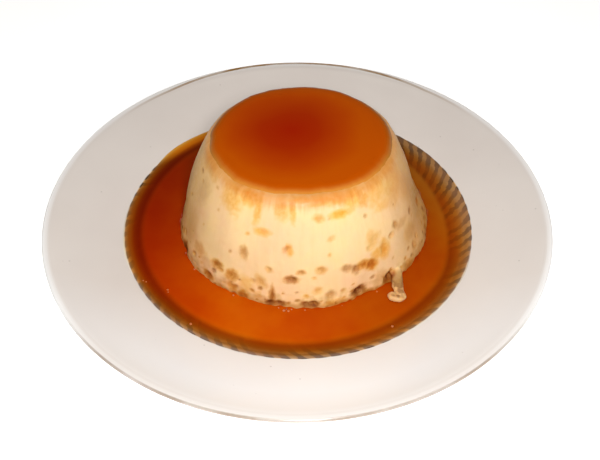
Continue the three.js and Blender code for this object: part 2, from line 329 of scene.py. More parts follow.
# ---------------------------------------------------------------- custard
# Egg and milk custard, baked in a small bowl mould and turned out upside down. It stands off centre
# and a little slumped. Its skin is pitted where bubbles of steam and caramel lay against the mould,
# and at the front right a strip has torn from the foot and curled onto the caramel.

FLAN_X = 2.4
FLAN_Y = 1.9
FLAN_HEIGHT = 46
FLAN_FOOT_RADIUS = 53.4
FLAN_TOP_RADIUS = 36.6
FLAN_BULGE = 2
FLAN_TOP_FLAT = 33.57
FLAN_SHOULDER = 5
SHOULDER_TURN = 63
FLAN_FOOT_ROUND = 1.2
TOP_SHIFT_X = -0.9
TOP_TILT = 0.5
FLAN_COLUMNS = 560
FLAN_ROW_HEIGHT = 0.58
BASE_ROWS, TOP_ROWS = (0, 22, 40, 49), (30, 24, 16, 8, 0)
FOOT_STEPS, SHOULDER_STEPS = 6, 14
# The share of the shoulder, from the top, that stays free of pits and lumps.
SMOOTH_SHOULDER = 0.35

# Where the wall stands out from the mould's shape: bearing, half angle, height, half height, depth.
# The last is a dent beside the tear.
BULGES = [(-62, 22, 4, 9, 1.5), (-98, 28, 10, 8, -0.9), (86, 30, 3, 9, 1.7), (100, 32, 19, 10, -1.2),
          (28, 6, 4, 9, -1.2)]
# Upright ripples: how many, phase in degrees, depth.
RIPPLES = [(7, 50, 0.25), (17, 0, 0.16)]


def hump(distance, half_width):
    return np.exp(-((distance / half_width) ** 2))


def turn_between(bearing, other):
    """Angle from one bearing to another, the short way round, in degrees."""
    return (bearing - other + 180) % 360 - 180


def mould_radius(height):
    rise = np.clip(height / FLAN_HEIGHT, 0, 1)
    straight = FLAN_FOOT_RADIUS + (FLAN_TOP_RADIUS - FLAN_FOOT_RADIUS) * rise
    return straight + FLAN_BULGE * 4 * rise * (1 - rise)


def slump(bearing, height):
    """How far the soft custard leaves the mould's shape: a dent beside the tear, a foot that
    spreads at both sides, and upright ripples."""
    fade = 1 - 0.5 * height / FLAN_HEIGHT
    waves = sum(depth * np.sin(np.radians(count * bearing + phase)) for count, phase, depth in RIPPLES)
    return fade * waves + sum(
        depth * hump(turn_between(bearing, at), angle) * hump(height - level, tall)
        for at, angle, level, tall, depth in BULGES)


def around_flan(bearing, radius, z):
    angle = np.radians(bearing)
    x, y = FLAN_X + radius * np.sin(angle), FLAN_Y - radius * np.cos(angle)
    return np.stack(np.broadcast_arrays(x, y, z), -1)


def on_flan(bearing, radius, height, inward=0):
    """Carries a point of the even mould shape to its place on the slumped flan."""
    reach = np.minimum(radius / mould_radius(height), 1)
    point = around_flan(bearing, radius + reach * slump(bearing, height) - inward, WELL_HEIGHT + height)
    rise = height / FLAN_HEIGHT
    point[..., 0] += rise * TOP_SHIFT_X
    point[..., 2] -= rise * TOP_TILT * (point[..., 1] - FLAN_Y) / FLAN_TOP_RADIUS
    return point


def shoulder_point(degrees, offset=0):
    """(radius, height) on the rounded shoulder, from 0 degrees on top to SHOULDER_TURN at the wall."""
    angle = np.radians(degrees)
    radius = FLAN_SHOULDER + offset
    return FLAN_TOP_FLAT + radius * np.sin(angle), FLAN_HEIGHT - FLAN_SHOULDER + radius * np.cos(angle)


# Pits in the skin: bearing, height above the well, width, tallness, depth, how dark and how orange.
# Dark ones hold baked-on crumbs, and orange ones are stained by caramel.
NEAR_PITS = [
    (-73, 39, 2.4, 1.3, 0.2, 0.35, 0.2), (-66, 5.2, 7, 5.2, 0.7, 0.85, 0.5),
    (-57, 9.5, 3, 2.4, 0.7, 0.2, 0.4), (-53, 40.6, 1.6, 1.2, 0.2, 0.15, 0.2),
    (-45.5, 6.6, 5, 2.4, 0.8, 0.5, 0.9), (-41.5, 13.3, 5.2, 3, 0.55, 0.46, 0.7),
    (-33, 12.2, 4.4, 4.6, 0.45, 0.34, 0.8), (-32.5, 7.4, 3.6, 3.8, 0.5, 0.18, 0.7),
    (-28.4, 23.5, 3.4, 4.2, 0.4, 0.32, 0.2), (-27, 5.2, 4.4, 2.8, 0.7, 0.32, 0.9),
    (-20.3, 33.2, 4.6, 2.8, 0.3, 0.02, 0.75), (-19, 13.9, 4.2, 4.6, 0.3, 0.15, 0.4),
    (-13.6, 8.4, 2.4, 7, 1, 0.45, 0.4), (-14.2, 5.6, 3.8, 2.6, 1.1, 0.8, 0.3),
    (-10.4, 5.7, 4.2, 2.6, 1.1, 0.6, 0.4), (-6.2, 28.2, 2.3, 3.4, 0.4, 0.06, 0.8),
    (-5.3, 16.6, 5.6, 2.5, 1, 0.62, 0.3), (-1, 19.8, 2.8, 2, 0.4, 0.3, 0.3),
    (1.2, 6.2, 4, 2.6, 1.1, 0.7, 0.2), (4.3, 6.5, 3.8, 2.6, 1.2, 1, 0.4),
    (6, 12.2, 3.2, 2.4, 0.4, 0.1, 0.4),
    (8, 20.6, 3.4, 2.8, 0.45, 0.24, 0.4), (8.7, 39.6, 3.4, 2.6, 0.3, 0.12, 0.5),
    (11.6, 9.4, 4.4, 3.8, 0.6, 0.22, 0.1), (14, 31.7, 2.6, 1.8, 0.3, 0.12, 0.2),
    (19.8, 39.6, 5, 2.6, 0.3, 0, 1.2), (20.2, 19, 4.4, 2.8, 0.45, 0.34, 0.1),
    (24.4, 17.8, 4.2, 2.8, 0.5, 0.42, 0.2), (24.4, 7.8, 5.4, 3.4, 1.5, 1.1, 0.2),
    (28.6, 18.2, 4.6, 3.4, 0.5, 0.3, 1.1), (32.4, 16.8, 5.4, 3.6, 0.7, 0.38, 1.5),
    (37, 26.4, 5.4, 3, 0.2, 0.1, 0.3), (40.8, 20.2, 4, 6.6, 0.6, 0.1, 0.9), (51, 26, 3, 3, 0.5, 0.3, 0.2),
    (61, 10.6, 3.4, 3, 0.5, 0.2, 0.4), (66, 24, 2.8, 2.4, 0.4, 0.28, 0.2),
]
# Soft stains in the skin, where thin caramel or steam lay: bearing, height, width, tallness, how
# dark and how orange.
STAINS = [
    (-70, 43.5, 16, 5, 0.06, 0.5), (-65, 16, 12, 13, 0.04, 0.1), (-64, 34, 9, 9, 0.1, 0),
    (-54, 13.5, 7, 5, 0.12, 0.3), (-48, 11, 7, 5, 0.12, 0), (-41, 41.6, 11, 9, 0.05, 0.6),
    (-37, 8, 4, 5, 0.14, 0), (-31, 43.2, 8, 6, 0.03, 0.75), (-26, 10.5, 6, 7, 0.03, 0.4),
    (-24, 41, 3.2, 10, 0.04, 0.64), (-20, 7.5, 3, 4, 0.04, 0.3), (-11, 42.2, 4.6, 7, 0.04, 0.5),
    (-4.8, 41.8, 2.6, 6.4, 0.04, 0.64), (0, 45.2, 9, 1.2, 0, 0.6), (12, 44.8, 9, 2.6, 0, 0.75),
    (14, 5.6, 10, 3.4, 0.1, 0.5), (20, 44.4, 9, 3, 0, 0.6), (26, 40, 4, 2.6, 0.05, 0.4),
    (30, 43.2, 9, 6, 0, 0.7), (29, 4.5, 5, 3.5, 0.2, 0.8), (35, 26, 6, 6, 0.05, 0.35),
    (36.4, 41.4, 4.4, 5.4, 0.08, 0.6), (36.5, 19.8, 5, 4.4, 0.02, 0.8), (37, 9, 6, 6, 0.1, 0.1),
    (46, 42, 12, 8, 0.03, 0.5), (48, 36, 9, 4, 0.02, 0.4), (53, 6, 7, 5, 0.15, 0.5),
    (56, 24, 9, 2.6, 0.1, 0.1), (60, 40, 14, 12, 0.05, 0.45), (61, 17, 9, 8, 0.1, 0.2),
    (70, 33, 12, 12, 0.06, 0.2),
]
# The hollow behind the torn curl is the deepest pit, and the skin under it is soaked. Its dark colour, and
# that of the narrow mark beside it, is partly painted shade under the torn strip.
TEAR_HOLLOW = (41.5, 7.0, 4.6, 5.4, 2.6, 0.80, 0.8)
TEAR_MARKS_AND_SHADE = [(38.4, 6.2, 1.6, 5.0, 0.5, 0.5, 0.6), (40.5, 4.2, 6.0, 4.4, 0.2, 0.3, 0.9)]
# What a full stain lets through of red, green and blue.
AMBER_CLARITY = (0.95, 0.60, 0.15)
CRUMB_CLARITY = (0.20, 0.08, 0.03)
# Pits on the flanks and the far side, pores between them, and specks at the foot. Each row has how
# many; the start, range and crowding of their bearings, heights and tallness; width and depth for
# each millimetre of tallness; and the start and range of how dark and how orange they are.
SPREAD_PITS = [
    (20, (76, 208, 1), (5.5, 17, 2), (2.2, 2.4, 1), 1.3, 0.45, (0.25, 0.4), (0.7, -0.4)),
    (110, (0, 360, 1), (3, 36, 2.2), (0.8, 1.5, 2), 1.3, 0.3, (0.08, 0.2), (0.4, -0.4)),
    (90, (-90, 180, 1), (3.6, 9, 2), (0.6, 1.5, 2), 1.4, 0.2, (0.1, 0.4), (0.8, -0.8)),
]


def fraction(value):
    return value - np.floor(value)


def spread_pits():
    """Each value steps on by an irrational share of its range, which spreads pits without a pattern."""
    for count, *ranges, wide, deep, dark, orange in SPREAD_PITS:
        for turn in range(1, count + 1):
            bearing, height, tall = (
                start + over * fraction(turn * step) ** crowding
                for (start, over, crowding), step in zip(ranges, (0.618034, 0.754878, 0.56984)))
            tone = fraction(turn * 0.4142)
            stains = [start + over * tone for start, over in (dark, orange)]
            yield bearing, height, wide * tall, tall, deep * tall, *stains


PITS = NEAR_PITS + [TEAR_HOLLOW] + TEAR_MARKS_AND_SHADE + list(spread_pits())


def mark_reach(bearing, height, mark, index, ragged=0):
    """Distance from a mark's middle as a share of its own uneven outline: 1 on the outline."""
    across = np.radians(turn_between(bearing, mark[0])) * mould_radius(mark[1]) / (mark[2] / 2)
    up = (height - mark[1]) / (mark[3] / 2)
    around = np.arctan2(up, across)
    uneven = 1 + 0.12 * np.sin(2 * around + 1.7 * index) + 0.05 * np.sin(5 * around + 2.9 * index)
    return np.hypot(across, up) * (uneven + 0.16 * ragged)


def noise_at(points, size, seed=0):
    """Smooth noise from about -1 to 1 at each point, with lumps of a size in millimetres."""
    shift = Vector((seed * 17.3, seed * 5.1, seed * 29.7))
    values = [noise.noise(Vector(p) / size + shift) for p in points.reshape(-1, 3)]
    return np.array(values).reshape(points.shape[:-1])


def pit_depth(bearing, height, ragged):
    """How far the pits go in at each place, with round bottoms and soft edges."""
    depth = np.zeros(np.broadcast(bearing, height).shape)
    for index, mark in enumerate(PITS):
        reach = mark_reach(bearing, height, mark, index, ragged)
        edge = np.clip(reach / 1.15, 0, 1)
        depth = np.maximum(depth, mark[4] * (1 - edge * edge * (3 - 2 * edge)))
    return depth


def grid_faces(rows, columns, closed_rows=False):
    """Quads of a grid whose columns wrap round, and whose rows may wrap too."""
    i, j = np.meshgrid(np.arange(rows if closed_rows else rows - 1), np.arange(columns), indexing="ij")
    k, l = (i + 1) % rows, (j + 1) % columns
    return np.stack([i * columns + j, i * columns + l, k * columns + l, k * columns + j], -1).reshape(-1, 4)


def store(mesh, name, values):
    """Keeps a value for each point of a mesh, for its material to read."""
    kept = mesh.attributes.new(name, "FLOAT", "POINT")
    kept.data.foreach_set("value", values.ravel().astype(np.float32))


def solid_mesh(name, points, closed_rows=False, depth=None):
    """A closed smooth mesh from a grid of points in millimetres, with its poles merged. depth, where
    given, is kept on the points for the material."""
    rows, columns = points.shape[:2]
    mesh = bpy.data.meshes.new(name)
    faces = grid_faces(rows, columns, closed_rows)
    mesh.from_pydata((points.reshape(-1, 3) / 1000).tolist(), [], faces.tolist())
    if depth is not None:
        store(mesh, "depth", depth)
    edit = bmesh.new()
    edit.from_mesh(mesh)
    bmesh.ops.remove_doubles(edit, verts=edit.verts, dist=1e-7)
    bmesh.ops.dissolve_degenerate(edit, edges=edit.edges, dist=1e-8)
    bmesh.ops.recalc_face_normals(edit, faces=edit.faces)
    edit.to_mesh(mesh)
    edit.free()
    mesh.shade_smooth()
    return mesh


def custard_rows():
    """(radius, height, share of the skin's relief) from the middle of the base to that of the top."""
    rows = [(r, 0, 0) for r in BASE_ROWS]
    for angle in np.linspace(0, math.pi / 2, FOOT_STEPS):
        foot = mould_radius(FLAN_FOOT_ROUND) - FLAN_FOOT_ROUND * (1 - math.sin(angle))
        rows.append((foot, FLAN_FOOT_ROUND * (1 - math.cos(angle)), 1))
    wall_top = shoulder_point(SHOULDER_TURN)[1]
    wall_rows = round((wall_top - FLAN_FOOT_ROUND) / FLAN_ROW_HEIGHT)
    for height in np.linspace(FLAN_FOOT_ROUND, wall_top, wall_rows + 1)[1:-1]:
        rows.append((mould_radius(height), height, 1))
    for degrees in np.linspace(SHOULDER_TURN, 0, SHOULDER_STEPS):
        relief = max(degrees / SHOULDER_TURN - SMOOTH_SHOULDER, 0) / (1 - SMOOTH_SHOULDER)
        rows.append((*shoulder_point(degrees), relief))
    return rows + [(r, FLAN_HEIGHT, 0) for r in TOP_ROWS]


def custard_body():
    """Points of the skin: lumps, upright streaks left by the mould, a pocked foot, and the pits."""
    rows = np.array(custard_rows())
    radius, height, relief = (rows[:, i:i + 1] for i in range(3))
    bearing = np.arange(FLAN_COLUMNS)[None, :] * 360 / FLAN_COLUMNS
    even = on_flan(bearing, radius, height)
    streaks = around_flan(bearing, 50, 0) + np.zeros((len(rows), 1, 1))
    streaks[..., 2] = height * 0.08
    lumps = 0.18 * noise_at(even, 7) + 0.09 * noise_at(even, 2.2, 1) + 0.02 * noise_at(streaks, 2.4, 2)
    pocked = hump(height, 9) * (0.4 * noise_at(even, 3.2, 3) + 0.05)
    inward = relief * (lumps + pocked + pit_depth(bearing, height, noise_at(even, 1.3, 9)))
    return on_flan(bearing, radius, height, inward)


CURL_WIDTH = 3.8
CURL_THICKNESS = 2.6
# The strip's route: bearing, distance from the custard's axis, height.
CURL_ROUTE = [(36.4, 56.8, 11.3), (36, 58.8, 11.3), (36.9, 60.4, 11.3), (38.1, 60.7, 11.4),
              (39, 59.6, 11.6), (39.8, 57.8, 11.9), (41.2, 55.7, 12.4), (43, 53.9, 13.2),
              (44.6, 51.6, 14.6), (45.8, 47.6, 16)]
CURL_STEPS = 90
CURL_SIDES = 28


def smooth_route(points, steps):
    """A smooth curve through points, with its two ends."""
    padded = np.concatenate([[2 * points[0] - points[1]], points, [2 * points[-1] - points[-2]]])
    along = np.linspace(0, len(points) - 1, steps)
    first = np.minimum(along.astype(int), len(points) - 2)
    t = (along - first)[:, None]
    a, b, c, d = (padded[first + i] for i in range(4))
    squared, cubed = 2 * a - 5 * b + 4 * c - d, 3 * b - a - 3 * c + d
    return 0.5 * (2 * b + (c - a) * t + squared * t ** 2 + cubed * t ** 3)


def curl_body():
    """The torn strip: an uneven flat strand along its route, blunt at both ends."""
    route = smooth_route(np.array([around_flan(*place) for place in CURL_ROUTE]), CURL_STEPS)
    ahead = np.gradient(route, axis=0)
    ahead /= np.linalg.norm(ahead, axis=1, keepdims=True)
    side = np.cross(ahead, [0, 0, 1.0])
    side /= np.linalg.norm(side, axis=1, keepdims=True)
    upper = np.cross(side, ahead)
    share = np.linspace(0, 1, CURL_STEPS)
    blunt = np.sqrt(np.clip(1 - np.abs(2 * share - 1) ** 12, 0.0, 1))[:, None]
    angle = np.linspace(0, 2 * math.pi, CURL_SIDES, endpoint=False)[None, :]
    flared = 1 + 0.2 * np.clip((share - 0.45) / 0.3, 0, 1)[:, None]
    wide = blunt * flared * CURL_WIDTH / 2 * (1 + 0.08 * np.sin(share * 23)[:, None])
    peeling = 1 - 0.65 * np.clip((share - 0.5) / 0.4, 0, 1)[:, None]
    thick = blunt * peeling * CURL_THICKNESS / 2 * (1 + 0.07 * np.sin(share * 31 + 1)[:, None])
    ring = (wide * np.cos(angle))[..., None] * side[:, None]
    ring += (thick * np.sin(angle))[..., None] * upper[:, None]
    points = route[:, None] + ring
    return points + ring * 0.16 * noise_at(points, 1.6, 4)[..., None]


def paint_custard(mesh):
    """Keeps how dark and how orange each place of the skin is, and which places are the torn strip."""
    place = np.zeros(len(mesh.vertices) * 3)
    mesh.vertices.foreach_get("co", place)
    place = place.reshape(-1, 3) * 1000
    height = place[:, 2] - WELL_HEIGHT
    x = place[:, 0] - FLAN_X - height / FLAN_HEIGHT * TOP_SHIFT_X
    y = place[:, 1] - FLAN_Y
    bearing = np.degrees(np.arctan2(x, -y))
    height = height + height / FLAN_HEIGHT * TOP_TILT * y / FLAN_TOP_RADIUS
    outside = np.hypot(x, y) - mould_radius(height)
    dark, orange = np.zeros(len(place)), np.zeros(len(place))
    ragged = noise_at(place, 1.3, 9)
    for index, mark in enumerate(PITS):
        reach = mark_reach(bearing, height, mark, index, ragged)
        dark = np.maximum(dark, mark[5] * np.clip((1.45 - reach) / 1.05, 0, 1))
        orange = np.maximum(orange, mark[6] * np.clip((1.65 - reach) / 1.15, 0, 1))
    wavy = 1.5 * ragged + noise_at(place, 4.5, 10)
    for index, (at, up, width, tall, tan, amber) in enumerate(STAINS):
        reach = mark_reach(bearing, height, (at, up, width, tall), index + 7, wavy)
        soft = np.clip((1.5 - reach) / 1.1, 0, 1)
        soft = soft * soft * (3 - 2 * soft)
        dark = np.maximum(dark, tan * soft)
        orange = np.maximum(orange, amber * soft)
    on_curl = np.clip((outside - 0.8) / 1.2, 0, 1)
    dark *= 1 - on_curl
    orange *= 1 - on_curl
    for name, values in (("dark", dark), ("orange", orange), ("curl", on_curl)):
        store(mesh, name, values)


def baked_custard():
    """Baked egg custard: a pale yellow gel that light enters and leaves softly, moist on the skin. Its
    flanks are painted browner as painted shade, and it browns to tan under the glaze and at the foot,
    where caramel has soaked in."""
    material, node = new_material("baked custard")
    place = millimetres(node)
    centred = node("VectorMath", place, (FLAN_X, FLAN_Y, WELL_HEIGHT), operation="SUBTRACT")
    x, y, z = node("SeparateXYZ", centred).outputs
    outward = node("VectorMath", node("CombineXYZ", x, y), operation="NORMALIZE")
    ring = node("VectorMath", outward, 50, operation="SCALE")
    low = node("Math", z, 0.16, operation="MULTIPLY")
    upright = node("CombineXYZ", {"Z": low})
    grain_place = node("VectorMath", ring, upright, operation="ADD")
    streak = node("TexNoise", grain_place, 0.42, 4.0)
    cloud = node("TexNoise", place, 0.06, 4.0)
    body = node("ValToRGB", cloud, stops=[(0.36, 0xE9BE90), (0.5, 0xEBC593), (0.64, 0xECC992)])
    streaked = node("MapRange", streak, 0.45, 0.75, 0, 0.16)
    tan = node("Mix", streaked, body, 0xD9AE6C, **COLOURS)
    # Painted shade: the flanks are painted browner than the front, as they turn from the light, and a deeper
    # brown towards the right.
    right, back, _ = node("SeparateXYZ", outward).outputs
    painted_flank_shade = node("MapRange", back, -0.85, -0.1, 0, 0.78, **SMOOTH)
    flank_tone = node("MapRange", right, -0.3, 0.5)
    flank_shade_colour = node("Mix", flank_tone, 0xD2A052, 0xC88E3A, **COLOURS)
    shaded_sides = node("Mix", painted_flank_shade, tan, flank_shade_colour, **COLOURS)
    orange, dark, torn = (
        node("Attribute", attribute_name=name).outputs["Fac"] for name in ("orange", "dark", "curl"))
    patch = node("TexNoise", place, 0.6, 3.0)
    patchy = node("MapRange", patch, 0.3, 0.7, 0.5, 1.0)
    soaked = node("Math", orange, patchy, operation="MULTIPLY")
    crumby = node("MapRange", patch, 0.3, 0.6, 0.55, 1.1)
    crumbed = node("Math", dark, crumby, operation="MULTIPLY")
    # Caramel has crept into the skin under the glaze and, unevenly, up from the pool.
    blotch = node("TexNoise", place, 0.22, 3.0)
    tinted = shaded_sides
    for uneven, rise, start, end, most, tint in (
            (streak, 6.5, 44.2, 50, 0.5, 0xCE8A3C), (streak, 3.0, 43.8, 47.4, 0.5, 0xC8843A),
            (blotch, -16.0, 1.5, -3.5, 0.6, 0xC08E48)):
        level = node("Math", uneven, rise, z, operation="MULTIPLY_ADD")
        crept = node("MapRange", level, start, end, 0, most, **SMOOTH)
        tinted = node("Mix", crept, tinted, tint, **COLOURS)
    foot = node("MapRange", z, 6.8, 4.4, 0, 0.65, **SMOOTH)
    tinted = node("Mix", foot, tinted, 0xB87A34, **COLOURS)
    # The torn strip is paler on the caramel than up the wall, which is darker partly as painted shade, and
    # mottled. A dark band of painted shadow lies where it bends.
    torn = node("Math", torn, 0.85, operation="MULTIPLY")
    arm = node("Math", patch, 2.0, z, operation="MULTIPLY_ADD")
    arm = node("MapRange", arm, 7.2, 9.8)
    strip = node("ValToRGB", arm, stops=[
        (0.0, 0xD0A26C), (0.1, 0xC8985F), (0.27, 0x7C4A1C), (0.5, 0x9C7038), (1.0, 0xB08850)])
    wet = node("Mix", torn, tinted, strip, **COLOURS)
    # A stain lets through less of each colour the stronger it is: amber takes blue, crumbs take all.
    stain = []
    for amber, crumb in zip(AMBER_CLARITY, CRUMB_CLARITY):
        depth = node("Math", crumbed, math.log(crumb), operation="MULTIPLY")
        depth = node("Math", soaked, math.log(amber), depth, operation="MULTIPLY_ADD")
        stain.append(node("Math", depth, operation="EXPONENT"))
    stain = node("CombineColor", *stain)
    colour = node("Mix", 1.0, wet, stain, **COLOURS, blend_type="MULTIPLY")
    pores = node("TexNoise", place, 1.3, 3.0)
    bump = node("Bump", {"Height": pores, "Strength": 0.35, "Distance": 0.00012})
    roughness = node("MapRange", patch, 0.35, 0.6, 0.62, 0.42)
    shine = node("MapRange", dark, 0, 1, 0.35, 0.1)
    shader = node("BsdfPrincipled", {
        "Base Color": colour, "Roughness": roughness, "IOR": 1.45, "Specular IOR Level": shine,
        "Subsurface Weight": 0.35, "Subsurface Radius": (1.0, 0.55, 0.25), "Subsurface Scale": 0.0018,
        "Normal": bump})
    node("OutputMaterial", shader)
    return material


custard = add_object("custard_body", solid_mesh("custard", custard_body()))
curl = add_object("curl", solid_mesh("curl", curl_body()))
join = custard.modifiers.new("torn strip", "BOOLEAN")
join.operation = "UNION"
join.solver = "MANIFOLD"
join.object = curl
settle(custard)
bpy.data.objects.remove(curl)
paint_custard(custard.data)
custard.data.materials.clear()
custard.data.materials.append(baked_custard())
custard.data.shade_smooth()
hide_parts("custard")
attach(custard, "root")


# ---------------------------------------------------------------- caramel pool
# Liquid caramel that ran down when the mould was lifted. It fills the well to one level, climbs a
# little up the custard's foot, and thins over the printed border to a film with a rounded edge. It
# isn't mixed evenly, and is strongest and reddest at the left.

POOL_LEVEL = 10.1
POOL_COLUMNS = 480
POOL_ROWS = 72
POOL_BED_STEP = 6
POOL_UNDER_CUSTARD = 0.7
POOL_FILM = 0.45
POOL_BED_GAP = 0.04
SYRUP_CLARITY = (0.87, 0.55, 0.16)
MENISCUS_HEIGHT = 0.3
MENISCUS_REACH = 0.7
# The film's outer edge: bearing and distance from the middle of the plate.
FILM_EDGE = [(-180, 72), (-128, 74.4), (-105, 73.3), (-85, 74.4), (-45, 74.2), (0, 74), (18, 74.2),
             (32, 74.9), (58, 74.9), (75, 74.4), (90, 74.2), (128, 74)]
FILM_EDGE_WIDTH = 2.2
SINK_WIDTH = 9
# The liquid reaches farther in under the custard behind the torn strip: how far, half angle.
TEAR_FLOOD, TEAR_FLOOD_HALF_ANGLE = 4.2, 7
SURFACE_SOFTNESS = 0.15


def film_edge(bearing):
    """The film's edge between its given places, with small uneven tongues."""
    places = FILM_EDGE + [(FILM_EDGE[0][0] + 360, FILM_EDGE[0][1])]
    at, far = (np.array(column, float) for column in zip(*places))
    turn = (bearing + 180) % 360 - 180
    which = np.clip(np.searchsorted(at, turn, side="right") - 1, 0, len(at) - 2)
    t = (turn - at[which]) / (at[which + 1] - at[which])
    t = t * t * (3 - 2 * t)
    tongues = 0.35 * np.sin(np.radians(9 * bearing + 40)) * np.sin(np.radians(4 * bearing))
    return far[which] * (1 - t) + far[which + 1] * t + tongues


def pool_body():
    """(points, depth of liquid) of the pool: its surface going out, then its bed coming back."""
    bearing = np.arange(POOL_COLUMNS)[None, :] * 360 / POOL_COLUMNS
    level = POOL_LEVEL - WELL_HEIGHT
    contact = mould_radius(level) + slump(bearing, level)
    from_tear = turn_between(bearing, TEAR_HOLLOW[0])
    under = POOL_UNDER_CUSTARD + TEAR_FLOOD * hump(from_tear, TEAR_FLOOD_HALF_ANGLE)
    inner = around_flan(bearing, contact - under, 0)
    start = np.hypot(inner[..., 0], inner[..., 1])
    outward = inner[..., :2] / start[..., None]
    seen = np.degrees(np.arctan2(inner[..., 0], -inner[..., 1]))
    edge = film_edge(seen)
    # Rows are closest at the two contact lines.
    share = (0.5 - 0.5 * np.cos(np.linspace(0, math.pi, POOL_ROWS)))[:, None]
    radius = start * (1 - share) + edge * share
    bed = plate_top(radius) + POOL_BED_GAP
    place = np.concatenate([outward * radius[..., None], bed[..., None]], -1)
    flan_x, flan_y = place[..., 0] - FLAN_X, place[..., 1] - FLAN_Y
    away = np.hypot(flan_x, flan_y) - contact
    clinging = np.clip(1 + 2.2 * noise_at(around_flan(bearing, 52, 0), 2.4, 8), 0.2, None)
    climb = clinging * MENISCUS_HEIGHT * np.exp(-np.clip(away, 0, None) / MENISCUS_REACH)
    # Where the liquid stops short of its level line, its surface sinks gently to the plate.
    near_edge = np.clip((radius - edge + SINK_WIDTH) / SINK_WIDTH, 0, 1)
    sink = np.clip(POOL_LEVEL - plate_top(edge), 0, None) * near_edge * near_edge * (3 - 2 * near_edge)
    level_surface = POOL_LEVEL + climb - sink
    to_edge = np.clip((edge - radius) / FILM_EDGE_WIDTH, 0, 1)
    film = POOL_FILM * np.sqrt(1 - (1 - to_edge) ** 2)
    swell = 0.03 * noise_at(place * [1, 1, 0], 14, 5)
    both = (surface / SURFACE_SOFTNESS for surface in (level_surface + swell, bed + film))
    top = SURFACE_SOFTNESS * np.logaddexp(*both)
    rounded = np.sqrt(np.clip(1 - (1 - to_edge) ** 2, 0, 1))
    top = np.where(to_edge <= 0, bed, bed + (top - bed) * rounded)
    surface = place.copy()
    surface[..., 2] = top
    # The bed needs fewer rows than the surface.
    depth = top - bed
    points = np.concatenate([surface, place[::-POOL_BED_STEP][1:]])
    return points, np.concatenate([depth, depth[::-POOL_BED_STEP][1:]])


